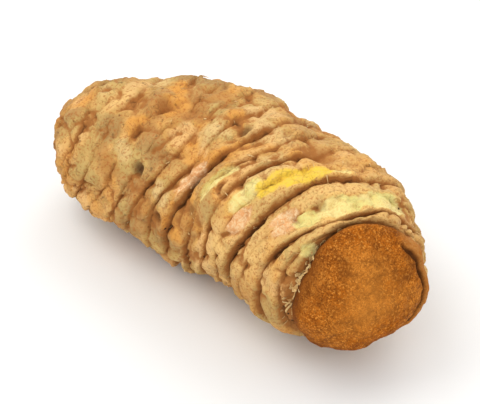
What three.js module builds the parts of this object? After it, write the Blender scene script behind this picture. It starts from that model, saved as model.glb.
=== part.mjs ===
// Turmeric root: one mother rhizome, as dug, trimmed and washed, lying on its side.
//
// The body is a blunt spindle swept along a gently bent centreline. Leaf scars run round it as
// rings, with one ridge to each internode, and crowd together towards the crown, where the smooth
// base of the cut shoot stands in a collar of rings. Millimetres, +Z up, +X from the tail to the
// crown, -Y is the front, and the origin is under the middle, on the surface the root lies on.

import * as THREE from 'three';
import { mergeVertices } from 'three/addons/utils/BufferGeometryUtils.js';

const { clamp, degToRad, lerp, smoothstep } = THREE.MathUtils;

// Overall form
const LENGTH = 66; // along the centreline, tip to tip
const TAIL_RADIUS = 11.6; // the older end
const BODY_RADIUS = 13.9; // the thickest stretch
const CROWN_RADIUS = 13.6; // the growing end
const FLATTENING = 0.96; // height of a cross-section over its width
const BLUNTNESS = 3.3; // 2 gives elliptic ends, more gives blunter ones
const TAIL_HEADING = degToRad(14); // which way the centreline sets out, from +X towards +Y
const MIDDLE_HEADING = degToRad(-15);
const CROWN_HEADING = degToRad(-46);
const TAIL_SLOPE = 0.02; // rise of the centreline per millimetre
const CROWN_SLOPE = 0.18;
const BELLY_REST = 1.2; // height of the lowest ridges that is pressed flat underneath

// Rings of leaf scars
const RING_PITCH = 4.4; // mean width of one ridge
const RING_CROWDING = 0.12; // share by which ridges widen at the tail and narrow at the crown
const CREVICE_DEPTH = 1.15; // ridge crest to crevice floor
const RING_TILT = 6.4; // how far a ring leans towards the crown on its leaning side
const RING_LEANING_SIDE = degToRad(-16); // around the section, from the top over the front
const RING_WOBBLE = 0.4; // how far it wanders on the way round
const TAIL_EASE = 20; // the stretch over which the lean grows from nothing at the tail tip
const CROWN_EASE = 9; // the stretch over which it dies out evenly before the bud

// Base of the cut shoot
const BUD_RADIUS = 9.5; // from its middle to the moat, measured over the surface
const BUD_HEIGHT = 2.9;
const BUD_ROUNDNESS = 0.8; // 0.5 is a round dome, more slopes its side
const MOAT_DEPTH = 1.5; // the crevice between the bud and its collar
const MOAT_WIDTH = 1.3;
const BUD_OVERLAP = 0.7; // how far its edge reaches over the last ring
// Lobes where it reaches further: how far, where around the section, and how wide
const BUD_LOBES = [
  { reach: 3.3, around: degToRad(5), width: degToRad(36) },
  { reach: 2.2, around: degToRad(125), width: degToRad(36) },
];

// Scars of broken fingers and roots: their middle as a share of the way from the tail tip to the
// crown tip, and as an angle around the section from the top over the front, then their size
const SCARS = [
  { along: 0.672, around: degToRad(-10), radius: 2.7, depth: 1.3, rim: 0.2 },
  { along: 0.41, around: degToRad(128), radius: 2.6, depth: 1.7, rim: 0.2 },
  { along: 0.61, around: degToRad(125), radius: 2.5, depth: 1.5, rim: 0.3 },
  { along: 0.36, around: degToRad(238), radius: 5.2, depth: 1.3, rim: 0.9 },
  { along: 0.68, around: degToRad(262), radius: 4.3, depth: 1.2, rim: 0.8 },
  { along: 0.2, around: degToRad(300), radius: 2.6, depth: 1.1, rim: 0.3 },
  { along: 0.5, around: degToRad(312), radius: 2.2, depth: 1.2, rim: 0.2 },
];

// Slow swellings of the body: height, waves around, waves along, and where they start
const SWELLINGS = [
  { height: 0.55, around: 2, along: 1.5, start: 0.6 },
  { height: 0.4, around: 3, along: -2.5, start: 2.1 },
  { height: 0.3, around: 5, along: 3.5, start: 4.4 },
  { height: 0.22, around: 7, along: -5.5, start: 1.2 },
];

// Fineness of the mesh
const SEGMENTS_AROUND = 40;
const ROWS_PER_RING = 5;
const BUD_ROWS = 9;

const UP = new THREE.Vector3(0, 0, 1);
const GOLDEN_SHARE = 0.618034; // its multiples give each ring a depth of its own

// Radius of the plain body where the centreline has run this share of its length.
function plainRadius(share) {
  const grown = lerp(TAIL_RADIUS, BODY_RADIUS, smoothstep(share, 0.02, 0.55));
  return lerp(grown, CROWN_RADIUS, smoothstep(share, 0.7, 1));
}

// The centreline, in three strides of equal length, each on its own heading.
function makeCentreline() {
  const stride = (heading, slope) =>
    new THREE.Vector3(Math.cos(heading), Math.sin(heading), slope).multiplyScalar(LENGTH / 3);
  const tail = new THREE.Vector3();
  const tailHandle = tail.clone().add(stride(TAIL_HEADING, TAIL_SLOPE));
  const crownHandle = tailHandle.clone().add(stride(MIDDLE_HEADING, 0));
  const crown = crownHandle.clone().add(stride(CROWN_HEADING, CROWN_SLOPE));
  return new THREE.CubicBezierCurve3(tail, tailHandle, crownHandle, crown);
}

// One side of the body's outline, from the tail tip to the crown tip: x is the share of the
// centreline that has run, times LENGTH, and y is the radius.
class BodyOutline extends THREE.Curve {
  getPoint(t, target = new THREE.Vector2()) {
    const power = 2 / BLUNTNESS;
    const cosine = Math.cos(Math.PI * t);
    const share = (1 - Math.sign(cosine) * Math.abs(cosine) ** power) / 2;
    const fullness = Math.max(Math.sin(Math.PI * t), 0) ** power;
    return target.set(share * LENGTH, plainRadius(share) * fullness);
  }
}

const centreline = makeCentreline();
const outline = new BodyOutline();
outline.arcLengthDivisions = 800;
const outlineLength = outline.getLength();
const ringedLength = outlineLength - BUD_RADIUS;
const ringCount = Math.round(ringedLength / RING_PITCH);
const ringRows = ringCount * ROWS_PER_RING;

// A point of the plain body: arc is the distance from the tail tip over the surface, and the angle
// runs from the top over the front.
function plainPoint(arc, angle) {
  const onOutline = outline.getPointAt(clamp(arc / outlineLength, 0, 1));
  const share = clamp(onOutline.x / LENGTH, 0, 1);
  const forward = centreline.getTangentAt(share);
  const front = new THREE.Vector3().crossVectors(forward, UP).normalize();
  const top = new THREE.Vector3().crossVectors(front, forward);
  return centreline
    .getPointAt(share)
    .addScaledVector(top, Math.cos(angle) * onOutline.y * FLATTENING)
    .addScaledVector(front, Math.sin(angle) * onOutline.y);
}

// The outward direction there. At a tip, where a ring shrinks to a point, it is the centreline's.
function plainNormal(arc, angle) {
  const step = 0.05;
  const along = plainPoint(arc + step, angle).sub(plainPoint(arc - step, angle));
  const around = plainPoint(arc, angle + step).sub(plainPoint(arc, angle - step));
  const normal = around.cross(along);
  if (normal.length() > 1e-6) return normal.normalize();
  const atTail = arc < outlineLength / 2;
  return centreline.getTangentAt(atTail ? 0 : 1).multiplyScalar(atTail ? -1 : 1);
}

// Swellings die out at both tips.
function freedom(arc) {
  return Math.sin((Math.PI * arc) / outlineLength);
}

// Where crevice number `ring` crosses the outline; a fraction is a place on the ridge after it.
function ringArc(ring) {
  const share = ring / ringCount;
  return ringedLength * share * (1 + RING_CROWDING * (1 - share));
}

// How far a ring lies towards the crown at this angle.
function ringShift(ring, angle) {
  const lean = RING_TILT * Math.cos(angle - RING_LEANING_SIDE);
  const wander = Math.sin(3 * angle + ring * 0.9) + 0.6 * Math.sin(5 * angle - ring * 1.3);
  const arc = ringArc(ring);
  const ease = smoothstep(arc, 0, TAIL_EASE) * clamp((ringedLength - arc) / CROWN_EASE, 0, 1);
  return ease * (lean + RING_WOBBLE * wander);
}

// Ridge and crevice: 0 on the crest, negative in the crevice. Each crevice has its own depth, and
// it fades and deepens on its way round.
function ringHeight(ring, angle) {
  const crevice = Math.round(ring);
  const ownDepth = lerp(0.55, 1.25, (crevice * GOLDEN_SHARE) % 1);
  const fading = 0.8 + 0.2 * Math.sin(2 * angle + crevice * 2.4);
  const ridge = Math.abs(Math.sin(Math.PI * ring)) ** 0.55;
  return -CREVICE_DEPTH * ownDepth * fading * smoothstep(ring, 0, 2) * (1 - ridge);
}

function swellingHeight(arc, angle) {
  const turn = (2 * Math.PI * arc) / outlineLength;
  const wave = ({ height, around, along, start }) =>
    height * Math.sin(around * angle + along * turn + start);
  return freedom(arc) * SWELLINGS.reduce((sum, swelling) => sum + wave(swelling), 0);
}

// The base of the shoot: a low dome on the crown, a little off its middle, with a moat round it.
function budHeight(arc, angle) {
  let reach = BUD_OVERLAP;
  for (const lobe of BUD_LOBES) {
    const turn = Math.atan2(Math.sin(angle - lobe.around), Math.cos(angle - lobe.around));
    reach += lobe.reach * Math.exp(-((turn / lobe.width) ** 2));
  }
  const inwards = arc - ringedLength; // from the collar towards the bud's middle
  const edge = inwards + reach * (1 - clamp(inwards / BUD_RADIUS, 0, 1));
  const away = 1 - edge / BUD_RADIUS;
  const dome = away < 1 ? BUD_HEIGHT * (1 - away ** 2) ** BUD_ROUNDNESS : 0;
  return dome - MOAT_DEPTH * Math.exp(-((edge / MOAT_WIDTH) ** 2));
}

const scarMiddles = SCARS.map(({ along, around }) => plainPoint(along * outlineLength, around));

// Dished scars with a raised rim.
function scarHeight(point) {
  return SCARS.reduce((sum, { radius, depth, rim }, i) => {
    const away = point.distanceTo(scarMiddles[i]) / radius;
    const dish = away < 1 ? -depth * (1 - away ** 2) ** 2 : 0;
    return sum + dish + rim * Math.exp(-(((away - 1.15) / 0.28) ** 2));
  }, 0);
}

// The skin on this row of the mesh. The rows follow the rings from the tail, ROWS_PER_RING to each
// ridge, and then close over the bud.
function skinPoint(row, angle) {
  const onBud = row > ringRows;
  const ring = row / ROWS_PER_RING;
  const arc = onBud ? ringedLength + (BUD_RADIUS * (row - ringRows)) / BUD_ROWS : ringArc(ring);
  const shifted = arc + (onBud ? 0 : ringShift(ring, angle));
  const plain = plainPoint(shifted, angle);
  const rings = onBud ? 0 : ringHeight(ring, angle);
  const height = rings + swellingHeight(arc, angle) + budHeight(arc, angle) + scarHeight(plain);
  return plain.addScaledVector(plainNormal(shifted, angle), height);
}

// Lowers the body onto the surface, presses its lowest ridges flat and centres it.
function settle(geometry) {
  geometry.computeBoundingBox();
  geometry.translate(0, 0, -geometry.boundingBox.min.z - BELLY_REST);
  const position = geometry.attributes.position;
  for (let i = 0; i < position.count; i += 1) position.setZ(i, Math.max(position.getZ(i), 0));
  geometry.computeBoundingBox();
  const middle = geometry.boundingBox.getCenter(new THREE.Vector3());
  geometry.translate(-middle.x, -middle.y, 0);
}

function makeRhizomeGeometry() {
  const rows = ringRows + BUD_ROWS;
  const geometry = new THREE.SphereGeometry(1, SEGMENTS_AROUND, rows);
  const position = geometry.attributes.position;
  for (let i = 0; i < position.count; i += 1) {
    const row = rows - Math.floor(i / (SEGMENTS_AROUND + 1));
    const segment = (i % (SEGMENTS_AROUND + 1)) % SEGMENTS_AROUND;
    const point = skinPoint(row, (2 * Math.PI * segment) / SEGMENTS_AROUND);
    position.setXYZ(i, point.x, point.y, point.z);
  }
  geometry.deleteAttribute('normal');
  geometry.deleteAttribute('uv');
  settle(geometry);
  const closed = mergeVertices(geometry);
  closed.computeVertexNormals();
  return closed;
}

const driedSkin = new THREE.MeshStandardMaterial({ color: 0xc29a5b, roughness: 0.85, metalness: 0 });

const rhizome = new THREE.Mesh(makeRhizomeGeometry(), driedSkin);
rhizome.name = 'turmeric_rhizome';

const turmericRoot = new THREE.Group();
turmericRoot.add(rhizome);

export default turmericRoot;
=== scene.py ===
# %% [markdown]
# # A fresh turmeric root
# This lesson builds one turmeric root, a mother rhizome about 65 mm long. A rhizome is a stem that
# grows underground. Each ring round it is the scar of a leaf, and the smooth dome at one end is the
# base of the shoot that was cut off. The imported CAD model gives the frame: where the root lies, how
# large it is and which way it points. Blender gives it its skin.

# %% Load the frame
import math
from functools import partialmethod

import bpy
import numpy as np
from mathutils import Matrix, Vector
from mathutils.bvhtree import BVHTree


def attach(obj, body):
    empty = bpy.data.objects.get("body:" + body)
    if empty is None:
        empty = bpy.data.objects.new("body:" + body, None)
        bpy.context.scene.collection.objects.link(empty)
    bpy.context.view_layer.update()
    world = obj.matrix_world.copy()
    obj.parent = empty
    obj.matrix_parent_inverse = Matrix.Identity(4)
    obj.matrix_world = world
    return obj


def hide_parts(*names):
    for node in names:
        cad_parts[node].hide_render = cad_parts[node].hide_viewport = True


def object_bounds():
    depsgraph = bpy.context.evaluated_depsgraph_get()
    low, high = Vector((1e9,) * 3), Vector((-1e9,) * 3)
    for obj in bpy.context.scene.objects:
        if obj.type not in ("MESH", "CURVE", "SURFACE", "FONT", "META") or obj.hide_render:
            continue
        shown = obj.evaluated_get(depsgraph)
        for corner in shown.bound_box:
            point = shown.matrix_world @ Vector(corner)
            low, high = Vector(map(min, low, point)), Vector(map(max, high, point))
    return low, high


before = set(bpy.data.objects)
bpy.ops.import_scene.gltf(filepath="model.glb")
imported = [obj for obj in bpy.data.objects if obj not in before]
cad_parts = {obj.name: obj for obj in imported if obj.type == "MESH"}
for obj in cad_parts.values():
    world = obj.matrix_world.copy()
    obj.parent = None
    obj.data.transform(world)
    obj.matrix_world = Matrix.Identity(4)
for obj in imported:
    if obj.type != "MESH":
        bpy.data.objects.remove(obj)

MM = 0.001
IN_MM = (1 / MM,) * 3
CAD_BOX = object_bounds()
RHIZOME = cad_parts["turmeric_rhizome"]
cad_size = CAD_BOX[1] - CAD_BOX[0]
print("the CAD root measures", [round(side / MM, 1) for side in cad_size], "mm")

# %% [markdown]
# ## Sizes
# The root is described as a grower might: how long, how thick at each end, how the stem bends, and
# how far apart the rings are. These are the design's own sizes in millimetres, the same ones that
# the CAD model is grown from, so that the skin lies on the solid.

# %% Sizes of the root, in millimetres
LENGTH = 66.0
TAIL_RADIUS = 11.6
BODY_RADIUS = 13.9
CROWN_RADIUS = 13.6
FLATTENING = 0.96
BLUNTNESS = 3.3
FULL_AT, CROWN_FROM = 0.55, 0.7  # shares of the length where it is thickest and where the crown starts
HEADINGS = [math.radians(turn) for turn in (14, -15, -46)]
SLOPES = [0.02, 0.0, 0.18]

RING_PITCH = 4.4
RING_CROWDING = 0.12
RING_DEPTH = 1.15
RING_TILT = 6.4
RING_LEANING_SIDE = math.radians(-16)
RING_WOBBLE = 0.4
TAIL_EASE = 20.0
CROWN_EASE = 9.0

BUD_RADIUS = 9.5
BUD_HEIGHT = 2.9
BUD_ROUNDNESS = 0.8
MOAT_DEPTH = 1.5
MOAT_WIDTH = 1.3
BUD_OVERLAP = 0.7
# Lobes where the bud reaches over the last ring: reach, degrees around, width in degrees
BUD_LOBES = [(3.3, 5, 36), (2.2, 125, 36)]

# Scars of broken fingers and roots: along, around in degrees, radius, depth, rim
SCARS = [
    (0.672, -10, 2.7, 1.3, 0.2), (0.41, 128, 2.6, 1.7, 0.2), (0.61, 125, 2.5, 1.5, 0.3),
    (0.36, 238, 5.2, 1.3, 0.9), (0.68, 262, 4.3, 1.2, 0.8), (0.20, 300, 2.6, 1.1, 0.3),
    (0.50, 312, 2.2, 1.2, 0.2),
]
# Pits of thin roots, too small for the CAD model
SMALL_PITS = [
    (0.316, 10, 1.6, 0.8, 0.15), (0.385, 14, 1.5, 0.6, 0.1), (0.437, -3, 1.2, 0.6, 0.1),
    (0.293, 35, 0.9, 0.6, 0.1), (0.25, 75, 1.0, 0.5, 0.1),
]
# Slow swellings: height, waves around, waves along, start
SWELLINGS = [(0.55, 2, 1.5, 0.6), (0.4, 3, -2.5, 2.1), (0.3, 5, 3.5, 4.4), (0.22, 7, -5.5, 1.2)]

# %% [markdown]
# ## The plain body
# Under its rings the root is a blunt spindle swept along a bent line. It could be modelled as a
# stretched sphere, but a grid of rows and columns is better here: every point of the grid knows how
# far along the root it is, on which ring, and on which side. Those numbers are stored as attributes,
# and the ring pattern and the colours are worked out from them later. The rows stand closer where
# the crevices will be, because that is where the shape turns sharply.

# %% Curves of the body
def smooth_step(value, low, high):
    share = np.clip((value - low) / (high - low), 0, 1)
    return share * share * (3 - 2 * share)


def blend_between(first, second, share):
    return first + (second - first) * share


def plain_radius(share):
    grown = blend_between(TAIL_RADIUS, BODY_RADIUS, smooth_step(share, 0.02, FULL_AT))
    return blend_between(grown, CROWN_RADIUS, smooth_step(share, CROWN_FROM, 1))


def lengths_along(points):
    steps = np.linalg.norm(np.diff(points, axis=0), axis=1)
    return np.concatenate([[0], np.cumsum(steps)])


def bent_line(samples=900):
    strides = [
        np.array([math.cos(heading), math.sin(heading), slope]) * LENGTH / 3
        for heading, slope in zip(HEADINGS, SLOPES)
    ]
    handles = np.concatenate([[np.zeros(3)], np.cumsum(strides, axis=0)])
    t = np.linspace(0, 1, samples)[:, None]
    weights = [(1 - t) ** 3, 3 * t * (1 - t) ** 2, 3 * t * t * (1 - t), t**3]
    return sum(weight * handle for weight, handle in zip(weights, handles))


def body_outline(samples=4000):
    t = np.linspace(0, 1, samples)
    cosine = np.cos(np.pi * t)
    power = 2 / BLUNTNESS
    share = (1 - np.sign(cosine) * np.abs(cosine) ** power) / 2
    fullness = np.maximum(np.sin(np.pi * t), 0) ** power
    return np.stack([share * LENGTH, plain_radius(share) * fullness], axis=1)


line = bent_line()
line_length = lengths_along(line)
line_share = line_length / line_length[-1]
line_forward = np.gradient(line, line_length, axis=0)
outline = body_outline()
outline_arc = lengths_along(outline)
OUTLINE_LENGTH = outline_arc[-1]
RINGED_LENGTH = OUTLINE_LENGTH - BUD_RADIUS
RING_COUNT = round(RINGED_LENGTH / RING_PITCH)
print(f"the outline is {OUTLINE_LENGTH:.1f} mm from tip to tip and carries {RING_COUNT} rings")

# %% Points of the plain body
def plain_points(arc, angle):
    """Places on the plain body, for a distance over the surface from the tail tip and an angle
    that runs from the top over the front."""
    arc = np.clip(arc, 0, OUTLINE_LENGTH)
    share = np.interp(arc, outline_arc, outline[:, 0]) / LENGTH
    radius = np.interp(arc, outline_arc, outline[:, 1])
    middle = np.stack([np.interp(share, line_share, line[:, k]) for k in range(3)], axis=-1)
    forward = np.stack([np.interp(share, line_share, line_forward[:, k]) for k in range(3)], axis=-1)
    forward /= np.linalg.norm(forward, axis=-1, keepdims=True)
    front = np.cross(forward, [0, 0, 1])
    front /= np.linalg.norm(front, axis=-1, keepdims=True)
    top = np.cross(front, forward)
    upward = (np.cos(angle) * radius * FLATTENING)[..., None] * top
    sideways = (np.sin(angle) * radius)[..., None] * front
    return middle + upward + sideways


def ring_arc(ring):
    share = ring / RING_COUNT
    return RINGED_LENGTH * share * (1 + RING_CROWDING * (1 - share))


def freedom(arc):
    return np.sin(np.pi * arc / OUTLINE_LENGTH)


def ring_shift(ring, angle):
    lean = RING_TILT * np.cos(angle - RING_LEANING_SIDE)
    wander = np.sin(3 * angle + ring * 0.9) + 0.6 * np.sin(5 * angle - ring * 1.3)
    arc = ring_arc(ring)
    ease = smooth_step(arc, 0, TAIL_EASE) * np.clip((RINGED_LENGTH - arc) / CROWN_EASE, 0, 1)
    return ease * (lean + RING_WOBBLE * wander)


# %% Rows and columns of the skin
ROWS_PER_RING = 24
BUD_ROWS = 60
COLUMNS = 220
CREVICE_CROWDING = 0.55  # how much closer the rows stand in a crevice

even_rings = np.linspace(0, RING_COUNT, RING_COUNT * ROWS_PER_RING + 1)
row_rings = even_rings - CREVICE_CROWDING * np.sin(2 * np.pi * even_rings) / (2 * np.pi)
bud_share = np.arange(1, BUD_ROWS + 1) / BUD_ROWS
row_bud = np.concatenate([np.zeros(len(row_rings)), bud_share])
row_rings = np.concatenate([row_rings, np.full(BUD_ROWS, float(RING_COUNT))])
row_arcs = ring_arc(row_rings) + row_bud * BUD_RADIUS
column_angles = np.arange(COLUMNS) * 2 * np.pi / COLUMNS

ring_grid, angle_grid = np.meshgrid(row_rings, column_angles, indexing="ij")
arc_grid = np.repeat(row_arcs[:, None], COLUMNS, axis=1)
bud_grid = np.repeat(row_bud[:, None], COLUMNS, axis=1)
shifted_grid = arc_grid + ring_shift(ring_grid, angle_grid)
plain_grid = plain_points(shifted_grid, angle_grid)

along_step = np.gradient(plain_grid, axis=0)
around_step = np.roll(plain_grid, -1, axis=1) - np.roll(plain_grid, 1, axis=1)
outward_grid = np.cross(around_step, along_step)
outward_grid[0] = -line_forward[0]
outward_grid[-1] = line_forward[-1]
outward_grid /= np.linalg.norm(outward_grid, axis=-1, keepdims=True)
print("the skin has", len(row_rings), "rows of", COLUMNS, "points")

# %% [markdown]
# ## Form that belongs to this one root
# Three things are particular to this root and follow no rule: its slow swellings, the scars where
# side fingers and thick roots broke off, and the bud. Their heights above the plain body are worked
# out here point by point, and handed to the growth tree as one attribute.

# %% Swellings, scars and bud
BUD_RIPPLES = [(0.2, 5), (0.12, 11)]  # height, waves around
RIM_AT, RIM_WIDTH = 1.15, 0.28  # a scar's rim, in radii of the scar
SCAR_CORE, SCAR_EDGE = 0.55, 1.1  # where its brown is full and where it ends


def bell(value, width=1.0):
    """1 where the value is 0, falling to 0 as a bell curve of this half width."""
    return np.exp(-((value / width) ** 2))


def degrees_from(side):
    """How far round every point stands from this side, from -180 to 180."""
    return (np.degrees(angle_grid) - side + 180) % 360 - 180


turn_grid = 2 * np.pi * arc_grid / OUTLINE_LENGTH
form_grid = freedom(arc_grid) * sum(
    height * np.sin(around * angle_grid + along * turn_grid + start)
    for height, around, along, start in SWELLINGS
)

bud_reach = BUD_OVERLAP + sum(reach * bell(degrees_from(side), width) for reach, side, width in BUD_LOBES)
bud_ripple = sum(height * np.sin(waves * angle_grid) for height, waves in BUD_RIPPLES)
bud_edge_grid = arc_grid - RINGED_LENGTH + (bud_reach + bud_ripple) * (1 - bud_grid)
bud_away = 1 - bud_edge_grid / BUD_RADIUS
bud_dome = BUD_HEIGHT * np.clip(1 - bud_away**2, 0, 1) ** BUD_ROUNDNESS
form_grid += bud_dome - MOAT_DEPTH * bell(bud_edge_grid, MOAT_WIDTH)

scar_grid = np.zeros_like(arc_grid)
for along, around, radius, depth, rim in SCARS + SMALL_PITS:
    middle = plain_points(np.array(along * OUTLINE_LENGTH), np.array(math.radians(around)))
    away = np.linalg.norm(plain_grid - middle, axis=-1) / radius
    form_grid += -depth * np.maximum(1 - away**2, 0) ** 2
    form_grid += rim * bell(away - RIM_AT, RIM_WIDTH)
    scar_grid = np.maximum(scar_grid, 1 - smooth_step(away, SCAR_CORE, SCAR_EDGE))
print(f"form runs from {form_grid.min():.2f} to {form_grid.max():.2f} mm off the plain body")

# %% [markdown]
# ## Where the skin has been rubbed
# On the upper side next to the crown the dry skin is worn off a few ridges. Fresh turmeric is bright
# yellow just under the skin, and where it has dried a little it turns cream or pinkish. Each worn
# place is a soft oval, given by its ring, its side and its reach both ways. It could be painted by
# hand, but as numbers it stays on its ridge when the ridge moves. Wider pale places fade out softly.

# %% Worn places, as ring, degrees around, reach in rings, reach in degrees
YELLOW_PLACES = [(11.45, 10, 0.55, 20), (11.15, 28, 0.46, 15)]
CREAM_PLACES = [(10.75, 44, 0.42, 15), (13.3, -28, 0.5, 26), (13.35, 6, 0.48, 19), (13.35, 30, 0.4, 13),
                (15.3, 46, 0.5, 9), (11.6, -8, 0.25, 9), (9.1, 45, 0.3, 16)]
BLUSH_PLACES = [(13.2, 44, 0.4, 11), (11.3, 58, 0.45, 12), (12.75, 40, 0.3, 12), (7.6, 50, 0.5, 14)]

PALE_PLACES = [(13.0, 5, 3.0, 62), (2.75, 12, 0.5, 12), (12.9, 78, 0.8, 20), (11.2, 80, 0.6, 16)]
WORN_CORE, WORN_EDGE = 0.45, 1.25  # fully worn inside the first, whole skin past the second


def away_from(ring, side, ring_reach, side_reach):
    """Distance from a place on the skin, where 1 is its reach."""
    return np.hypot((ring_grid - ring) / ring_reach, degrees_from(side) / side_reach)


def worn_places(places):
    worn = [1 - smooth_step(away_from(*place), WORN_CORE, WORN_EDGE) for place in places]
    return np.maximum.reduce(worn) * (bud_edge_grid < 0)


def soft_places(places):
    return sum(bell(away_from(*place)) for place in places)


yellow_grid, cream_grid, blush_grid = map(worn_places, (YELLOW_PLACES, CREAM_PLACES, BLUSH_PLACES))
pale_grid = soft_places(PALE_PLACES)
bare_shares = [(grid > 0.5).mean() for grid in (yellow_grid, cream_grid)]
print(f"{bare_shares[0]:.1%} of the skin is worn to yellow, {bare_shares[1]:.1%} to cream")

# %% Where rings run deep and where they are worn smooth
# As ring, degrees around, reach in rings, reach in degrees, change of depth
RING_CHANGES = [
    (8.2, 30, 0.5, 70, 0.15), (9.0, 30, 0.45, 90, -0.45), (9.9, 50, 0.5, 75, 0.45),
    (11.0, 30, 0.5, 120, -0.9), (12.0, 40, 0.5, 75, 0.2), (13.0, 30, 0.5, 120, -0.9),
    (15.0, 0, 0.6, 110, -0.8), (3.6, 5, 3.6, 80, -0.5), (9.0, -65, 6.0, 42, -0.6),
    (6.0, 120, 5.0, 40, -0.3),
]

strength_grid = sum((change * bell(away_from(*place)) for *place, change in RING_CHANGES), start=1.0)
print(f"rings run from {strength_grid.min():.2f} to {strength_grid.max():.2f} of their usual depth")

# %% Make the grid a mesh
def closed_grid_mesh(name, grid):
    """Rows of points make the skin. The first and the last row are one point each."""
    rings = grid[1:-1].reshape(-1, 3)
    points = np.concatenate([grid[:1, 0], rings, grid[-1:, 0]])
    row_count = len(grid) - 2
    index = 1 + np.arange(row_count * COLUMNS).reshape(row_count, COLUMNS)
    onward = np.roll(index, -1, axis=1)
    quads = np.stack([index[:-1], index[1:], onward[1:], onward[:-1]], axis=-1).reshape(-1, 4)
    last = len(points) - 1
    faces = quads.tolist()
    faces += [[0, int(a), int(b)] for a, b in zip(index[0], onward[0])]
    faces += [[last, int(b), int(a)] for a, b in zip(index[-1], onward[-1])]
    mesh = bpy.data.meshes.new(name)
    mesh.from_pydata(points.tolist(), [], faces)
    mesh.update()
    return mesh


def store(mesh, **grids):
    """Keeps grids of numbers or vectors as attributes, in the order of the mesh's points."""
    for name, grid in grids.items():
        rings = grid[1:-1].reshape(-1, *grid.shape[2:])
        values = np.concatenate([grid[:1, 0], rings, grid[-1:, 0]]).astype(np.float32)
        kind, key = ("FLOAT_VECTOR", "vector") if grid.ndim == 3 else ("FLOAT", "value")
        mesh.attributes.new(name, kind, "POINT").data.foreach_set(key, values.ravel())


def new_object(name, data):
    item = bpy.data.objects.new(name, data)
    bpy.context.scene.collection.objects.link(item)
    return item


skin = new_object("rhizome_skin", closed_grid_mesh("rhizome_skin", plain_grid * MM))
store(skin.data, outward=outward_grid, ring=ring_grid, angle=angle_grid, arc=arc_grid, form=form_grid,
      bud_edge=bud_edge_grid, scar=scar_grid, strength=strength_grid, yellow=yellow_grid,
      cream=cream_grid, blush=blush_grid, pale=pale_grid)
print("plain skin:", len(skin.data.vertices), "points,", len(skin.data.polygons), "faces")

# %% [markdown]
# ## Reckoning with sockets
# Node trees are made of many small Math nodes. Added by hand in a script they take a page for one
# formula. Here a socket is wrapped in a Field, and every sum or product of Fields adds the Math node
# that it needs, so a formula in a tree reads like a formula. It serves Geometry Nodes and materials
# alike, because both use the same Math node.

# %% Fields
class Field:
    """A socket of a node tree that can be reckoned with."""

    def __init__(self, socket):
        self.socket = socket
        self.tree = socket.id_data

    def math(self, operation, *others, kind="ShaderNodeMath"):
        node = self.tree.nodes.new(kind)
        node.operation = operation
        for target, value in zip(node.inputs, (self, *others)):
            feed(target, value)
        return Field(node.outputs[0])

    vector_math = partialmethod(math, kind="ShaderNodeVectorMath")
    __add__ = partialmethod(math, "ADD")
    __sub__ = partialmethod(math, "SUBTRACT")
    __mul__ = partialmethod(math, "MULTIPLY")
    __truediv__ = partialmethod(math, "DIVIDE")
    __pow__ = partialmethod(math, "POWER")
    either = partialmethod(math, "MAXIMUM")

    def __rtruediv__(self, number):
        return (self ** -1.0) * number

    def less_from(self, number):
        """number - self"""
        return self.math("MULTIPLY_ADD", -1.0, number)

    def bell(self, width):
        """The same curve as bell() draws on a grid."""
        ratio = self / width
        return (ratio * ratio * -1.0).math("EXPONENT")

    def between(self, low, high, first=0.0, last=1.0):
        """A smooth ramp from first at low to last at high."""
        return add_node(self.tree, "ShaderNodeMapRange", {"interpolation_type": "SMOOTHSTEP"}, Value=self,
                        From_Min=low, From_Max=high, To_Min=first, To_Max=last)["Result"]

    def moved(self, way, reach):
        """A vector field pushed along another one, by this many times its length."""
        return way.vector_math("MULTIPLY_ADD", spread(reach, self.tree), self)


# %% Helpers for nodes
def feed(target, value):
    if isinstance(value, Field):
        target.id_data.links.new(value.socket, target)
    else:
        target.default_value = value


def set_inputs(node, **values):
    """Feeds a node's inputs by name, where an underscore stands for a space."""
    sockets = {socket.name: socket for socket in node.inputs if socket.enabled}
    for name, value in values.items():
        feed(sockets[name.replace("_", " ")], value)


def add_node(tree, kind, settings=None, **inputs):
    """Adds a node and gives its outputs by name, as Fields."""
    node = tree.nodes.new(kind)
    for name, value in (settings or {}).items():
        setattr(node, name, value)
    set_inputs(node, **inputs)
    return {socket.name: Field(socket) for socket in node.outputs if socket.enabled}


def vector_of(tree, x, y, z):
    return add_node(tree, "ShaderNodeCombineXYZ", X=x, Y=y, Z=z)["Vector"]


def spread(value, tree):
    """The same number three times over."""
    return vector_of(tree, value, value, value)


def around_axis(angle, reach, along):
    """A place on a tube of this radius, so that a pattern closes round the root."""
    return vector_of(angle.tree, angle.math("COSINE") * reach, angle.math("SINE") * reach, along)


def split(vector):
    """The three numbers of a vector or a colour."""
    return list(add_node(vector.tree, "ShaderNodeSeparateXYZ", Vector=vector).values())


def noise(place, size, detail=2.0, roughness=0.5, distortion=0.0):
    """Cloudy noise from 0 to 1, with clouds of this size in the place's own unit."""
    return add_node(place.tree, "ShaderNodeTexNoise", Vector=place, Scale=1 / size, Detail=detail,
                    Roughness=roughness, Distortion=distortion)["Fac"]


def noise_vector(place, size):
    """Three cloudy noises, one for each direction, around zero."""
    cloud = add_node(place.tree, "ShaderNodeTexNoise", Vector=place, Scale=1 / size, Detail=1.0)
    return cloud["Color"].vector_math("SUBTRACT", (0.5, 0.5, 0.5))


def cells(place, size, feature="F1", jitter=1.0):
    """Voronoi cells of this size: how far off their middle or edge is, and a colour for each."""
    made = add_node(place.tree, "ShaderNodeTexVoronoi", {"feature": feature}, Vector=place,
                    Scale=1 / size, Randomness=jitter)
    return made["Distance"], made.get("Color")


# %% Helpers for trees
FLOAT, VECTOR, GEOMETRY = "NodeSocketFloat", "NodeSocketVector", "NodeSocketGeometry"
NUMBER_SOCKETS = {float: FLOAT, int: "NodeSocketInt"}


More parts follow.
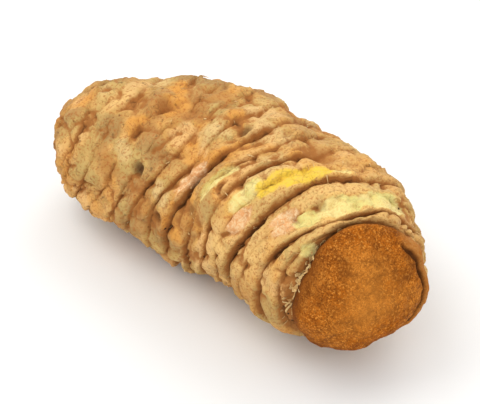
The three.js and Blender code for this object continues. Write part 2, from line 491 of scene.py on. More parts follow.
def new_tree(name, kind, inputs, outputs):
    """A node tree. An input is given by its first value or, if it has none, by its socket type."""
    tree = bpy.data.node_groups.new(name, kind)
    for socket_name, value in inputs.items():
        socket_kind = NUMBER_SOCKETS.get(type(value), value)
        socket = tree.interface.new_socket(name=socket_name, in_out="INPUT", socket_type=socket_kind)
        if socket_kind != value:
            socket.default_value = value
    for socket_name, socket_kind in outputs.items():
        tree.interface.new_socket(name=socket_name, in_out="OUTPUT", socket_type=socket_kind)
    given = {s.name: Field(s) for s in tree.nodes.new("NodeGroupInput").outputs if s.name}
    return tree, given, tree.nodes.new("NodeGroupOutput")


def run_modifier(item, tree, **values):
    """Runs a growth tree on an object with these input values and keeps the result as its mesh."""
    modifier = item.modifiers.new(tree.name, "NODES")
    modifier.node_group = tree
    sockets = {s.name: s.identifier for s in tree.interface.items_tree if s.in_out == "INPUT"}
    for name, value in values.items():
        modifier[sockets[name.replace("_", " ")]] = value
    depsgraph = bpy.context.evaluated_depsgraph_get()
    mesh = bpy.data.meshes.new_from_object(item.evaluated_get(depsgraph), depsgraph=depsgraph,
                                           preserve_all_data_layers=True)
    item.modifiers.remove(modifier)
    item.data = mesh


# %% [markdown]
# ## The growth tree
# The rings of a rhizome follow a rule: one ridge to each internode, a crevice between two ridges,
# and notches that break a ridge into plates. That is work for Geometry Nodes. The tree reads each
# point's ring number and angle, works out how high the skin stands there, and moves the point
# outwards by that much. Its inputs are sizes in millimetres, so the same tree could grow a ginger
# root with wider rings. Displacing in the material would look alike in a render, but the mesh itself
# would stay smooth, and a model is used for more than its picture.

# %% Growth tree: rings
GOLDEN, PLASTIC = 0.618034, 0.7548777  # multiples of these never fall in step with the rings
SLIT_WIDTH = 0.26
RIM_DROP, SLOW_RISE = 0.6, 2.3  # mm before a crevice and past it over which the skin falls and rises


def read_attribute(tree, name, kind="FLOAT"):
    return add_node(tree, "GeometryNodeInputNamedAttribute", {"data_type": kind}, Name=name)["Attribute"]


def shingle(ring, spacing):
    """How far the skin lies under the ridge tops, from 0 to 1. The stem grew out of each ring like
    a tube out of a wider tube: it drops steeply at a ring's rim, then widens slowly again."""
    crevice = ring.math("ROUND")
    past = (ring - crevice) * spacing
    drop = past.between(-RIM_DROP, 0.05)
    rise = past.between(0.0, SLOW_RISE, 1.0, 0.0)
    return drop * rise, past, crevice


def ring_relief(tree, given, place, ring, angle, inside):
    """Heights of ridges and crevices, and how deep the point lies in a crevice, from 0 to 1."""
    drift = (noise(place, 9.0) - 0.5) * 1.6 + (noise(place, 2.6) - 0.5) * 0.7
    ring = ring + drift * inside * given["Ring wander"]
    low, past, crevice = shingle(ring, given["Ring spacing"])
    own_depth = (crevice * GOLDEN).math("FRACT") * 0.75 + 0.55
    fading = noise(around_axis(angle, 1.6, crevice * 3.7), 1.0).between(0.36, 0.6, 0.35, 1.15)
    by_age = ring.between(4.0, 8.5, 0.42, 1.0) * ring.between(0.0, 2.0)
    strength = read_attribute(tree, "strength")
    depth = own_depth * fading * by_age * strength * given["Ring depth"]
    slit = past.bell(SLIT_WIDTH) * depth
    lip = (past + 0.75).bell(0.4) * depth * 0.2

    shift = own_depth * 0.3 + 0.22
    second_low, second_past, second_crevice = shingle(ring + shift, given["Ring spacing"])
    shown = (second_crevice * PLASTIC).math("FRACT").between(0.2, 0.55)
    part = noise(place, 5.0).between(0.44, 0.56) * ring.between(1.0, 3.0)
    second_depth = shown * part * strength * strength * given["Second crevices"]
    second = (second_low * 0.45 + second_past.bell(SLIT_WIDTH) * 0.6) * second_depth

    height = (low * 0.8 * depth + slit * 0.75 + second) * -1.0 + lip
    hollow = slit * 0.8 + low * depth * 0.35 + second * 0.75
    return height, hollow, ring, low.less_from(1.0)


# %% Growth tree: plates, lumps and pits
TIP_ROUNDING = 13.0
NOTCH_WIDTH = 0.36
RIDGE_STRIDE = 9.1  # every ridge reads its plates this much further along, so that no two are alike
LARGE_LUMP, SMALL_LUMP = 4.8, 2.3
PIT_SPACING, PIT_RADIUS, PIT_RIM = 5.2, 1.35, 1.6


def blunt_reach(arc):
    """0 at the tail tip and 1 past the rounding, so that no pattern is pinched at the tip."""
    return (arc / TIP_ROUNDING).math("MINIMUM", 1.0)


def plate_relief(given, place, ring, angle, arc, ridge):
    """Notches across a ridge, and the pillow shape of the plates between them."""
    number = ring.math("FLOOR")
    lean = ring.math("FRACT") * 3.0
    across = around_axis(angle, blunt_reach(arc) * BODY_RADIUS, number * RIDGE_STRIDE + lean)
    crooked = across.moved(noise_vector(place, 1.6), 1.3)
    edge = cells(crooked, given["Plate size"], "DISTANCE_TO_EDGE")[0] * given["Plate size"]
    kept = noise(place, 5.0).between(0.4, 0.58)
    notch = edge.bell(NOTCH_WIDTH) * kept * (ridge * 0.4).less_from(1.0)
    pillow = edge.between(0.0, 1.7, 0.0, 0.3)
    return pillow - notch * given["Notch depth"], notch


def lump_relief(given, place, ring):
    """Rounder lumps at the old end, where the rings have worn away."""
    weight = ring.between(5.5, 10.0, 1.0, 0.22)
    bent = place.moved(noise_vector(place, 3.0), 2.0)
    large = cells(bent, LARGE_LUMP, "SMOOTH_F1")[0].less_from(0.42) * 1.9
    small = cells(bent, SMALL_LUMP, "SMOOTH_F1")[0].less_from(0.42) * 0.7
    return (large + small) * weight * given["Lump height"], weight


def pit_relief(given, place, weight):
    """Scars of thin roots: small pits with a slight rim, more of them at the old end."""
    distance, colour = cells(place, PIT_SPACING, jitter=0.9)
    chosen = split(colour)[0].between(0.46, 0.48, 1.0, 0.0) * (weight * 0.6 + 0.4)
    away = distance * PIT_SPACING + (noise(place, 1.2) - 0.5) * 0.9
    pit = away.between(PIT_RADIUS, 0.35) * chosen
    rim = (away - PIT_RIM).bell(0.4) * chosen
    return (rim * 0.2 - pit) * given["Pit depth"], pit


# %% Growth tree: wrinkles, grain and worn skin
def wrinkle_relief(given, place, angle, arc):
    """Fine folds that run along the rings, creases in any direction, and a grain all over."""
    stretched = around_axis(angle, blunt_reach(arc) * 4.5, arc)
    folds = noise(stretched, 1.15, detail=3.0, roughness=0.6)
    fold = ((folds - 0.5).math("ABSOLUTE") * 2.0).less_from(1.0) ** 3.0
    crumple = noise(place, 2.8, distortion=0.8)
    crease = (crumple - 0.5).bell(0.035) * noise(place, 6.0).between(0.42, 0.6)
    grain = noise(place, 0.85, detail=3.0, roughness=0.65) - 0.5
    waves = noise(place, 3.2) - 0.5
    grained = (grain + waves * 2.6) * given["Grain height"]
    return (fold - crease * 1.6) * given["Wrinkle height"] + grained, crease


def worn_relief(tree, place, name):
    """Where the papery skin has come off in flakes, with ragged edges."""
    ragged = (noise(place, 1.1, detail=4.0, roughness=0.7) - 0.5) * 1.1
    missing = read_attribute(tree, name)
    return (missing + ragged).between(0.44, 0.6) * missing.between(0.02, 0.2)


PEBBLE, LINE_SPACING = 0.8, 1.3
DRY_SCALE_AT = 6.7  # how far from the bud's middle the edge of its dry scale runs


def bud_relief(place, edge, angle):
    """A granular dome, the edge of a dry scale that wraps its far side, and faint growth lines."""
    pebbles = cells(place.moved(noise_vector(place, PEBBLE), 0.4), PEBBLE, "SMOOTH_F1")[0].less_from(0.45)
    grains = noise(place, 0.55, detail=3.0, roughness=0.65) - 0.5
    dents = noise(place, 3.0) - 0.5
    away = edge.less_from(BUD_RADIUS)
    lines = (away + noise(place, 3.0) * 1.6).math("PINGPONG", LINE_SPACING).bell(0.25)
    far_side = (angle + math.pi / 2).math("COSINE").between(0.45, 0.75)
    scale = (away - DRY_SCALE_AT) + (noise(place, 3.2) - 0.5) * 1.8
    scale_edge = scale.between(-0.05, 0.3) * far_side
    gap = (scale + 0.1).bell(0.24) * far_side
    height = pebbles * 0.2 + grains * 0.22 + dents * 0.9 - lines * 0.1 + scale_edge * 0.5 - gap * 0.6
    return height, gap, scale_edge


# %% Growth tree: put together
WORN_DEPTH = 0.88  # the rings' share of their full depth that is left under the dry skin


def freedom_field(arc):
    """The same curve as freedom() draws on a grid."""
    return (arc * (math.pi / OUTLINE_LENGTH)).math("SINE")


def make_ring_growth():
    inputs = {
        "Geometry": GEOMETRY,
        "Ring depth": RING_DEPTH * WORN_DEPTH,
        "Ring spacing": RING_PITCH,
        "Ring wander": 0.16,
        "Second crevices": 0.3,
        "Plate size": 4.6,
        "Notch depth": 0.68,
        "Lump height": 0.66,
        "Pit depth": 0.95,
        "Wrinkle height": 0.13,
        "Grain height": 0.2,
        "Skin thickness": 0.18,
        "Seed": 3.0,
    }
    tree, given, end = new_tree("ring_growth", "GeometryNodeTree", inputs, {"Geometry": GEOMETRY})

    ring, angle, arc, form, bud_edge = (read_attribute(tree, name)
                                        for name in ("ring", "angle", "arc", "form", "bud_edge"))
    position = add_node(tree, "GeometryNodeInputPosition")["Position"]
    seeded = vector_of(tree, given["Seed"] * 31.0, 0.0, given["Seed"] * 17.0)
    place = position.vector_math("MULTIPLY", IN_MM).moved(seeded, 1.0)
    on_bud = bud_edge.between(-0.15, 0.15)
    off_bud = on_bud.less_from(1.0)
    inside = freedom_field(arc) * off_bud

    rings, hollow, moved_ring, ridge = ring_relief(tree, given, place, ring, angle, inside)
    plates, notch = plate_relief(given, place, moved_ring, angle, arc, ridge)
    lumps, old_end = lump_relief(given, place, ring)
    pits, pit = pit_relief(given, place, old_end)
    wrinkles, crease = wrinkle_relief(given, place, angle, arc)
    yellow, cream, blush = (worn_relief(tree, place, name) for name in ("yellow", "cream", "blush"))
    dome, gap, scale_edge = bud_relief(place, bud_edge, angle)

    worn = yellow.either(cream)
    skin_height = rings + plates + lumps + pits + wrinkles - worn * given["Skin thickness"]
    height = form + skin_height * off_bud + dome * on_bud
    moat = (bud_edge + 0.3).bell(1.0)
    hollow = (hollow + notch * 0.75 + crease * 0.25) * off_bud + gap * on_bud
    kept = {"height": height, "hollow": hollow.either(moat), "pit": pit * off_bud, "ridge": ridge,
            "old_end": old_end, "bare_yellow": yellow, "bare_cream": cream, "bare_blush": blush,
            "bud_scale": scale_edge * on_bud}
    geometry = given["Geometry"]
    on_each_point = {"data_type": "FLOAT", "domain": "POINT"}
    for name, value in kept.items():
        geometry = add_node(tree, "GeometryNodeStoreNamedAttribute", on_each_point, Geometry=geometry,
                            Name=name, Value=value)["Geometry"]
    lift = spread(read_attribute(tree, "height") * MM, tree)
    lifted = read_attribute(tree, "outward", "FLOAT_VECTOR").vector_math("MULTIPLY", lift)
    set_inputs(end, **add_node(tree, "GeometryNodeSetPosition", Geometry=geometry, Offset=lifted))
    return tree


growth = make_ring_growth()
run_modifier(skin, growth, Seed=3.0)
print("growth tree:", len(growth.nodes), "nodes")

# %% [markdown]
# ## Laying the skin on the CAD solid
# The grown mesh still stands where its centreline began. The CAD model says where the root lies, so
# the skin is moved there once, point by point: its sides to the middle of the CAD box, its back to
# the CAD root's top. Whatever would reach under the surface is pressed flat, as the CAD belly is.

# %% Settle the skin
def points_of(mesh):
    values = np.empty(len(mesh.vertices) * 3, dtype=np.float32)
    mesh.vertices.foreach_get("co", values)
    return values.reshape(-1, 3)


def move_points(mesh, points):
    mesh.vertices.foreach_set("co", points.ravel())
    mesh.update()


def settle(mesh, low, high):
    points = points_of(mesh)
    middle = (np.array(low) + np.array(high)) / 2
    points[:, :2] += (middle - (points.min(0) + points.max(0)) / 2)[:2]
    points[:, 2] += high[2] - points[:, 2].max()
    points[:, 2] = np.maximum(points[:, 2], low[2])
    move_points(mesh, points)


settle(skin.data, *CAD_BOX)
skin.data.shade_smooth()
cad_surface = BVHTree.FromPolygons([v.co for v in RHIZOME.data.vertices],
                                   [p.vertices for p in RHIZOME.data.polygons])
EVERY = 37  # measuring one point in so many is enough
offsets = [cad_surface.find_nearest(Vector(point))[3] / MM for point in points_of(skin.data)[::EVERY]]
print(f"the skin lies {np.mean(offsets):.2f} mm off the CAD solid on average, {max(offsets):.2f} mm at most")

# %% [markdown]
# ## Shared finishes
# Skin, bud, dry sheath and broken root all come from one plant, so they share their patterns: soft
# clouds of colour, blotches inside them and fine speckles over everything. Each pattern is a shader
# node group, built once and placed in each material with its own sizes. Painted textures would need
# a flat layout of a bent root, while patterns in space need none.

# %% Colour helpers
def mixed(tree, first, second, share):
    """A colour between first and second. Each is a colour or a Field."""
    return add_node(tree, "ShaderNodeMix", {"data_type": "RGBA"}, Factor=share, A=first, B=second)["Result"]


def layered(tree, colour, layers):
    """Lays colours over a first one, each as thickly as its share says."""
    for over, share in layers:
        colour = mixed(tree, colour, over, share)
    return colour


def paint(*card):
    """A colour as a painter reads it off a colour card, from 0 to 255, made linear for the shader."""
    channels = [value / 255 for value in card]
    linear = [value / 12.92 if value < 0.04045 else ((value + 0.055) / 1.055) ** 2.4 for value in channels]
    return (*linear, 1.0)


def use_group(tree, group, **inputs):
    return add_node(tree, "ShaderNodeGroup", {"node_tree": group}, **inputs)


# %% Mottle group
def make_mottle():
    inputs = {"Place": VECTOR, "Cloud size": 9.0, "Blotch size": 2.2, "Speckle size": 0.4, "Plate size": 4.0}
    outputs = dict.fromkeys(("Clouds", "Blotches", "Speckles", "Plates", "Hues"), FLOAT)
    tree, given, end = new_tree("plant_mottle", "ShaderNodeTree", inputs, outputs)
    place = given["Place"]
    clouds = noise(place, given["Cloud size"])
    blotches = noise(place, given["Blotch size"], detail=3.0, roughness=0.6, distortion=0.6)
    speckles = noise(place, given["Speckle size"], roughness=0.7)
    crooked = place.moved(noise_vector(place, given["Plate size"] * 0.5), given["Plate size"] * 0.5)
    plates, hues, _ = split(cells(crooked, given["Plate size"], "SMOOTH_F1")[1])
    set_inputs(end, Clouds=clouds.between(0.3, 0.7), Blotches=blotches.between(0.4, 0.66),
               Speckles=speckles.between(0.5, 0.66), Plates=plates, Hues=hues)
    return tree


MOTTLE = make_mottle()
print("mottle group:", len(MOTTLE.nodes), "nodes")

# %% Grain group
def make_grain():
    """Heights of a fine plant skin, in millimetres: pimples, and hair cracks between small flakes."""
    inputs = {"Place": VECTOR, "Pimple size": 0.45, "Flake size": 1.3, "Crack depth": 0.05}
    tree, given, end = new_tree("plant_grain", "ShaderNodeTree", inputs, {"Height": FLOAT, "Cracks": FLOAT})
    place = given["Place"]
    pimples = noise(place, given["Pimple size"], detail=4.0, roughness=0.65) - 0.5
    bent = place.moved(noise_vector(place, 0.9), 0.9)
    edge = cells(bent, given["Flake size"], "DISTANCE_TO_EDGE")[0]
    cracks = edge.between(0.09, 0.0) * noise(place, 3.1).between(0.45, 0.62)
    set_inputs(end, Height=pimples * 0.14 - cracks * given["Crack depth"], Cracks=cracks)
    return tree


GRAIN = make_grain()
print("grain group:", len(GRAIN.nodes), "nodes")

# %% [markdown]
# ## The skin's finish
# A fresh root isn't one colour. Its ridges are straw, partly their own tone and partly a painted
# highlight on the ridge tops, its old end is olive, and where a ridge is rubbed the flesh shows,
# yellow or cream. The crevices, pits, hair cracks and the moat round the bud are painted brown as
# shade. The growth tree has stored how deep each point lies and where skin is missing, so the
# material only reads those attributes and picks a colour for them. An image could be painted
# instead, but it wouldn't follow the relief when the tree's inputs change. Only the finest grain is
# bump, because it is smaller than the mesh's faces.

# %% Materials: start
SHINE = 0.2  # of dry plant skin, on the shader's scale where 0.5 is usual


def new_material(name, roughness):
    """A material with its tree, its shader and the place on the root in millimetres."""
    material = bpy.data.materials.new(name)
    material.use_nodes = True
    tree = material.node_tree
    shader = tree.nodes["Principled BSDF"]
    set_inputs(shader, Roughness=roughness, Specular_IOR_Level=SHINE)
    place = add_node(tree, "ShaderNodeTexCoord")["Object"].vector_math("MULTIPLY", IN_MM)
    return material, tree, shader, place


def skin_values(tree, *names):
    return [add_node(tree, "ShaderNodeAttribute", {"attribute_name": name})["Fac"] for name in names]


def bumped(tree, height):
    """A normal for the shader, from a height in millimetres."""
    return add_node(tree, "ShaderNodeBump", Strength=1.0, Distance=MM, Height=height)["Normal"]


# %% Colours of a fresh root
OCHRE = paint(194, 140, 70)
STRAW = paint(222, 180, 110)
OLIVE = paint(156, 118, 58)
GOLD = paint(212, 144, 58)
KHAKI = paint(186, 160, 96)
RUST = paint(160, 86, 32)
# Brown for the scars' own colour and for painted shade in the crevices.
SCAR_AND_CREVICE_SHADE = paint(166, 108, 52)
# Dark brown for the old end's own dark spots, and for painted shade in pits, crevices, hair cracks and the
# bud's gaps.
SHADE_AND_DARK_SPOTS = paint(80, 46, 22)
YELLOW = paint(228, 190, 62)
HONEY = paint(226, 184, 92)
CREAM = paint(230, 210, 138)
PALE_GREEN = paint(214, 203, 122)
BLUSH = paint(224, 168, 112)
PALE_PINK = paint(234, 202, 156)
FLUSH = paint(206, 120, 62)
PLATE = paint(230, 194, 134)
DUSK = paint(152, 112, 66)
BUD_BROWN = paint(166, 88, 14)
BUD_DARK = paint(104, 52, 10)
BUD_LIGHT = paint(216, 140, 56)
SCALE_TAN = paint(186, 128, 66)


# %% Skin material
def make_bud_colour(tree, place, hollow, bud_edge, streaks):
    marks = use_group(tree, MOTTLE, Place=place, Cloud_size=5.0, Blotch_size=1.2, Speckle_size=0.34)
    broad = noise(place, 3.4, roughness=0.6).between(0.5, 0.34)
    fine = noise(place, 0.22, detail=1.0).between(0.5, 0.62)
    scale_colour = mixed(tree, SCALE_TAN, BUD_BROWN, streaks.between(0.36, 0.66) * 0.6)
    return layered(tree, BUD_BROWN, [
        (BUD_LIGHT, marks["Clouds"] * 0.5),
        (BUD_DARK, marks["Blotches"] * 0.65),
        (BUD_LIGHT, marks["Speckles"] * 0.8),
        (BUD_DARK, broad * 0.45),
        (BUD_DARK, fine * 0.6),
        (BUD_DARK, bud_edge.between(0.2, 4.0, 0.9, 0.0)),
        (BUD_LIGHT, bud_edge.between(4.0, 9.0) * 0.35),
        (scale_colour, skin_values(tree, "bud_scale")[0] * 0.85),
        # Painted shade in the gap under the dry scale and in the moat round the bud.
        (SHADE_AND_DARK_SPOTS, hollow.between(0.1, 0.8) * 0.9),
    ])


def make_skin_material():
    material, tree, shader, place = new_material("turmeric_skin", 0.75)
    hollow, pit, ridge, scar, old_end, bud_edge = skin_values(
        tree, "hollow", "pit", "ridge", "scar", "old_end", "bud_edge")
    yellow, cream, blush = skin_values(tree, "bare_yellow", "bare_cream", "bare_blush")
    near_yellow, near_cream, near_blush, pale = skin_values(tree, "yellow", "cream", "blush", "pale")
    marks = use_group(tree, MOTTLE, Place=place, Cloud_size=8.0, Blotch_size=2.0, Speckle_size=0.42)
    grain = use_group(tree, GRAIN, Place=place)
    plates, hues = marks["Plates"], marks["Hues"]

    streaks = noise(place, 0.7, detail=3.0, roughness=0.7, distortion=1.0)
    spots = noise(place, 1.0, roughness=0.6).between(0.64, 0.72) * old_end
    # Painted shade: the deeper a point lies in a crevice or in the moat, the browner it is painted,
    # unevenly.
    crevice_shade = hollow * noise(place, 1.5, detail=3.0, roughness=0.6).between(0.25, 0.75, 0.6, 1.5)
    pinks = mixed(tree, PALE_PINK, BLUSH, streaks.between(0.35, 0.65))
    creams = mixed(tree, CREAM, PALE_GREEN, noise(place, 4.0).between(0.42, 0.6) * 0.8)
    colour = layered(tree, OCHRE, [
        # Soft straw clouds are the skin's own tone. The extra straw on the ridge tops is a painted
        # highlight.
        (STRAW, (marks["Clouds"] * 0.5 + ridge * 0.4) * 0.7),
        (OLIVE, marks["Blotches"] * (old_end * 0.35 + 0.2)),
        (GOLD, hues.between(0.5, 0.8) * 0.7),
        (KHAKI, hues.between(0.45, 0.2) * 0.65),
        (PLATE, plates.between(0.52, 0.85) * 0.5),
        (DUSK, plates.between(0.45, 0.18) * (old_end * 0.3 + 0.25)),
        (STRAW, pale * streaks.between(0.3, 0.6, 0.3, 1.0)),
        (HONEY, near_yellow.either(near_cream) * streaks.between(0.4, 0.6, 0.5, 0.95)),
        (FLUSH, near_blush * streaks.between(0.35, 0.6, 0.2, 0.7)),
        (RUST, marks["Speckles"] * 0.6),
        (SHADE_AND_DARK_SPOTS, spots * 0.55),
        # Painted shade in the crevices.
        (SCAR_AND_CREVICE_SHADE, crevice_shade.between(0.1, 0.6)),
        (pinks, blush * streaks.between(0.3, 0.6, 0.9, 0.5)),
        (creams, cream * streaks.between(0.36, 0.6, 0.5, 1.0)),
        (YELLOW, yellow * streaks.between(0.36, 0.6, 0.55, 1.0)),
        (SCAR_AND_CREVICE_SHADE, scar * 0.6),
        # Painted shade in the deepest crevices and the moat. In the root pits the dark is partly their own
        # colour and partly painted shade.
        (SHADE_AND_DARK_SPOTS, (pit * 0.9).either(crevice_shade.between(0.7, 1.4) * 0.65)),
        # Painted shade in the hair cracks.
        (SHADE_AND_DARK_SPOTS, grain["Cracks"] * 0.2),
    ])

    bud_colour = make_bud_colour(tree, place, hollow, bud_edge, streaks)
    on_bud = bud_edge.between(-0.3, 0.3)
    worn = yellow.either(cream)
    set_inputs(shader, Base_Color=mixed(tree, colour, bud_colour, on_bud),
               Roughness=marks["Blotches"] * 0.1 + 0.7 - worn * 0.2 + hollow * 0.1,
               Specular_IOR_Level=on_bud * -0.14 + SHINE,
               Normal=bumped(tree, grain["Height"] * (on_bud * 0.6 + 1.0)))
    return material


skin.data.materials.clear()
skin.data.materials.append(make_skin_material())
print("skin material:", len(skin.data.materials[0].node_tree.nodes), "nodes")
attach(skin, "root")
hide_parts("turmeric_rhizome")

# %% [markdown]
# ## Dry sheaths, fibres and soil
# Every ring once carried a papery leaf. When a root is trimmed and washed, shreds of these leaves
# stay in the crevices, with small rags of them in the moat round the bud, stumps of thin roots and a
# few crumbs of soil. They could be modelled one by one, but they are alike and many, so a Geometry
# Nodes tree scatters a small shape over the skin, thickly where an attribute says so, and turns and
# sizes each copy at random. The seed is fixed, so each run gives the same root.

# %% Where the scattered pieces lie
RIM_BELOW = 0.35  # a ring's torn edge stands this far on the tail's side of its crevice
MOAT_SIDE, MOAT_SPREAD = 72, 34  # degrees round the bud where most shreds stayed, and how widely
FEW_SHREDS = 0.08  # their share elsewhere in the moat
# Places where whole rags of a sheath are left: ring, degrees around, and their reaches
TUFTS = [(15.45, 46, 0.45, 8), (15.7, 66, 0.3, 8), (15.75, 84, 0.3, 12)]

in_moat = bell(bud_edge_grid + 0.5, 0.8)
moat_side = bell(np.degrees(angle_grid) - MOAT_SIDE, MOAT_SPREAD)
from_crevice = (ring_grid - np.round(ring_grid)) * RING_PITCH
ring_rim = bell(from_crevice + RIM_BELOW, RIM_BELOW)
store(skin.data, shreds=in_moat * (FEW_SHREDS + moat_side), tufts=in_moat * soft_places(TUFTS),
      rims=ring_rim * smooth_step(ring_grid, 1, 3) * (bud_edge_grid < -1),
      low_side=smooth_step(-np.cos(angle_grid), -0.3, 0.8), crownward=along_step)
print(f"{(in_moat > 0.5).mean():.1%} of the skin lies in the moat, {(ring_rim > 0.5).mean():.1%} on rims")

# %% Small shapes
def bent_shape(tree, geometry, bend):
    """Moves the points of a small shape. Bend takes x, y and z, and gives three new ones."""
    position = add_node(tree, "GeometryNodeInputPosition")["Position"]
    bent = vector_of(tree, *bend(*split(position)))
    return add_node(tree, "GeometryNodeSetPosition", Geometry=geometry, Position=bent)["Geometry"]


def strip_shape(tree, broad=0.15):
    """A thin closed strip, 1 long, that narrows and curls up towards its free end."""
    box = add_node(tree, "GeometryNodeMeshCube", Size=(1.0, broad, 0.02), Vertices_X=7, Vertices_Y=3)

    def bend(x, y, z):
        run = x + 0.5
        width = (run * run * 0.75).less_from(1.0)
        return run, y * width + run * run * 0.12, z + run * run * 0.32 + (y * y) * -2.2

    return bent_shape(tree, box["Mesh"], bend)


def rag_shape(tree):
    """A broad papery strip."""
    return strip_shape(tree, broad=0.34)


def hair_shape(tree):
    """A thin root, 1 long, that tapers and bends over."""
    rod = add_node(tree, "GeometryNodeMeshCylinder", Vertices=5, Side_Segments=6, Radius=0.045, Depth=1.0)

    def bend(x, y, z):
        run = z + 0.5
        thin = (run * 0.7).less_from(1.0)
        return x * thin + run * run * 0.55, y * thin + (run * 4.0).math("SINE") * 0.07, run * 0.75

    return bent_shape(tree, rod["Mesh"], bend)


def crumb_shape(tree):
    return add_node(tree, "GeometryNodeMeshIcoSphere", Radius=0.5, Subdivisions=1)["Mesh"]


# %% Scatter tree
def random_number(tree, low, high, seed):
    settings = {"data_type": "FLOAT_VECTOR" if isinstance(low, tuple) else "FLOAT"}
    return add_node(tree, "FunctionNodeRandomValue", settings, Min=low, Max=high, Seed=seed)["Value"]


def make_scatter(name, shape, density_of):
    """A tree that puts copies of a shape on the skin. Sizes are in millimetres."""
    inputs = {"Geometry": GEOMETRY, "Pieces per mm2": 0.5, "Shortest": 0.6, "Longest": 1.6, "Lift": 0.4,
              "Spin": 0.8, "Sink": 0.1, "Seed": 1, "Finish": "NodeSocketMaterial"}
    tree, given, end = new_tree(name, "GeometryNodeTree", inputs, {"Geometry": GEOMETRY})
    density = density_of(lambda value: read_attribute(tree, value)) * given["Pieces per mm2"] * (1 / MM**2)
    points = add_node(tree, "GeometryNodeDistributePointsOnFaces", Mesh=given["Geometry"], Density=density,
                      Seed=given["Seed"])
    facing = add_node(tree, "FunctionNodeAlignRotationToVector", {"axis": "X", "pivot_axis": "Z"},
                      Rotation=points["Rotation"], Vector=read_attribute(tree, "crownward", "FLOAT_VECTOR"))
    spin = random_number(tree, given["Spin"] * -1.0, given["Spin"], 11)
    lift = given["Lift"] * random_number(tree, -1.3, -0.3, 12)
    turned = add_node(tree, "FunctionNodeRotateRotation", {"rotation_space": "LOCAL"},
                      Rotation=facing["Rotation"],
                      Rotate_By=vector_of(tree, random_number(tree, -0.4, 0.4, 13), lift, spin))
    size = random_number(tree, given["Shortest"] * MM, given["Longest"] * MM, 14)
    uneven = random_number(tree, (0.8, 0.6, 0.6), (1.2, 1.3, 1.3), 15)
    copies = add_node(tree, "GeometryNodeInstanceOnPoints", Points=points["Points"], Instance=shape(tree),
                      Rotation=turned["Rotation"], Scale=uneven.vector_math("MULTIPLY", spread(size, tree)))
    sinking = points["Normal"].vector_math("MULTIPLY", spread(given["Sink"] * -MM, tree))
    sunk = add_node(tree, "GeometryNodeTranslateInstances", **copies, Translation=sinking, Local_Space=False)
    whole = add_node(tree, "GeometryNodeRealizeInstances", Geometry=sunk["Instances"])
    set_inputs(end, **add_node(tree, "GeometryNodeSetMaterial", **whole, Material=given["Finish"]))
    return tree


# %% Finishes of the scattered pieces
def make_plain_plant_material(name, dark, light, speckle, roughness, sizes):
    material, tree, shader, place = new_material(name, roughness)
    cloud, blotch, dots = sizes
    marks = use_group(tree, MOTTLE, Place=place, Cloud_size=cloud, Blotch_size=blotch, Speckle_size=dots)
    grain = use_group(tree, GRAIN, Place=place, Pimple_size=0.25, Flake_size=0.6)
    colour = layered(tree, dark, [
        (light, marks["Clouds"] * 0.6 + marks["Blotches"] * 0.4), (speckle, marks["Speckles"] * 0.5)])
    set_inputs(shader, Base_Color=colour, Normal=bumped(tree, grain["Height"] * 0.5))
    return material


SHEATH = make_plain_plant_material("dry_sheath", paint(190, 140, 74), paint(234, 208, 148),
                                   paint(164, 104, 52), roughness=0.6, sizes=(1.5, 0.5, 0.2))
FIBRE = make_plain_plant_material("root_fibre", paint(150, 100, 52), paint(204, 164, 104),
                                  paint(104, 62, 30), roughness=0.75, sizes=(1.5, 0.5, 0.2))
SOIL = make_plain_plant_material("soil", paint(62, 40, 24), paint(110, 76, 46),
                                 paint(44, 28, 18), roughness=0.95, sizes=(0.8, 0.4, 0.2))
print("finishes:", SHEATH.name, FIBRE.name, SOIL.name)

# %% Scatter them
def scattered(name, shape, density_of, **values):
    """Strews small shapes over a copy of the skin and keeps only them. None reaches under the floor."""
    host = new_object(name, skin.data.copy())
    run_modifier(host, make_scatter("scatter_" + name, shape, density_of), **values)
    points = points_of(host.data)
    points[:, 2] = np.maximum(points[:, 2], 0)
    move_points(host.data, points)
    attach(host, "root")
    print(name + ":", len(host.data.polygons), "faces")


def crumbs_where(read):
    return read("hollow").between(0.5, 1.0) * (read("low_side") + 0.12)


scattered("sheath_shreds", strip_shape, lambda read: read("shreds"), Pieces_per_mm2=2.4, Shortest=1.2,
          Longest=4.0, Lift=0.4, Spin=1.2, Seed=5, Finish=SHEATH)
scattered("skin_flakes", strip_shape, lambda read: read("rims"), Pieces_per_mm2=0.16, Shortest=0.5,
          Longest=1.4, Lift=0.25, Spin=1.5, Seed=8, Finish=SHEATH)
scattered("sheath_tufts", rag_shape, lambda read: read("tufts"), Pieces_per_mm2=1.6, Shortest=1.2,
          Longest=2.4, Lift=0.3, Spin=0.9, Sink=0.15, Seed=3, Finish=SHEATH)
scattered("root_hairs", hair_shape, lambda read: read("pit") + read("rims") * 0.05, Pieces_per_mm2=0.15,
          Shortest=0.8, Longest=2.4, Lift=0.8, Spin=3.1, Seed=13, Finish=FIBRE)
scattered("soil_crumbs", crumb_shape, crumbs_where, Pieces_per_mm2=0.55, Shortest=0.15, Longest=0.42,
          Lift=0.0, Spin=3.1, Sink=0.0, Seed=21, Finish=SOIL)

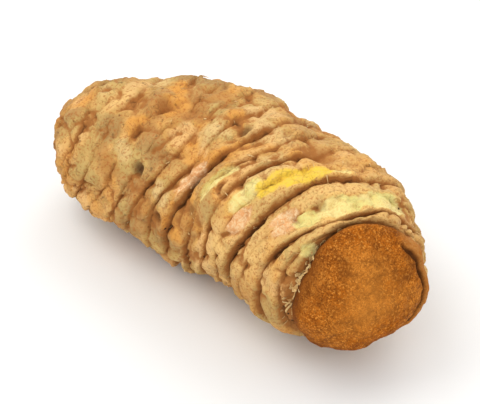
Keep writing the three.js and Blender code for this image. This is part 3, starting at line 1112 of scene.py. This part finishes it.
# %% [markdown]
# ## Floor, light and camera
# The root lies on a plain pale floor. Two broad lights stand above it, one at its front left and one
# behind, a third fills in from the camera's side, and a bright room opens the shadows, so that the
# crevices read as dark lines and not as holes. The camera looks down on the crown from far off with a
# long lens, because a short lens close by would swell the bud and shrink the tail. The plain view
# transform keeps the worn yellow as strong as it was chosen.

# %% Floor
FLOOR_SIDE = 4.0
bpy.ops.mesh.primitive_plane_add(size=FLOOR_SIDE)
floor = bpy.context.object
floor.name = "floor"
paper = bpy.data.materials.new("pale_floor")
paper.use_nodes = True
set_inputs(paper.node_tree.nodes["Principled BSDF"], Base_Color=(0.82, 0.82, 0.81, 1), Roughness=0.9)
floor.data.materials.append(paper)
print("floor:", [round(side, 2) for side in floor.dimensions], "m")

# %% Lights
ROOM_BRIGHTNESS = 0.92
world = bpy.data.worlds.new("studio")
bpy.context.scene.world = world
world.use_nodes = True
set_inputs(world.node_tree.nodes["Background"], Color=(1, 1, 1, 1), Strength=ROOM_BRIGHTNESS)

middle = (CAD_BOX[0] + CAD_BOX[1]) / 2


def stand(item, azimuth, elevation, distance):
    """Stands a light or a camera round the root, in degrees off the front and up, facing it."""
    turn, rise = math.radians(azimuth), math.radians(elevation)
    away = Vector((math.sin(turn) * math.cos(rise), -math.cos(turn) * math.cos(rise), math.sin(rise)))
    item.location = middle + away * distance
    item.rotation_euler = (-away).to_track_quat("-Z", "Y").to_euler()


def softbox(name, azimuth, elevation, distance, size, watts):
    light = bpy.data.lights.new(name, "AREA")
    light.size = size
    light.energy = watts
    stand(new_object(name, light), azimuth, elevation, distance)


softbox("key", azimuth=-60, elevation=60, distance=0.5, size=0.4, watts=0.9)
softbox("back", azimuth=170, elevation=50, distance=0.5, size=0.35, watts=0.6)
softbox("fill", azimuth=30, elevation=42, distance=0.7, size=0.5, watts=1.0)
print("lights:", [item.name for item in bpy.data.lights])

# %% Camera
LENS = 230
CAMERA_AZIMUTH, CAMERA_ELEVATION, CAMERA_DISTANCE = 28, 38, 0.435
camera = new_object("camera", bpy.data.cameras.new("camera"))
camera.data.lens = LENS
stand(camera, CAMERA_AZIMUTH, CAMERA_ELEVATION, CAMERA_DISTANCE)
bpy.context.scene.camera = camera
bpy.context.scene.view_settings.view_transform = "Standard"
print("camera stands", round(camera.location.length, 2), "m off")
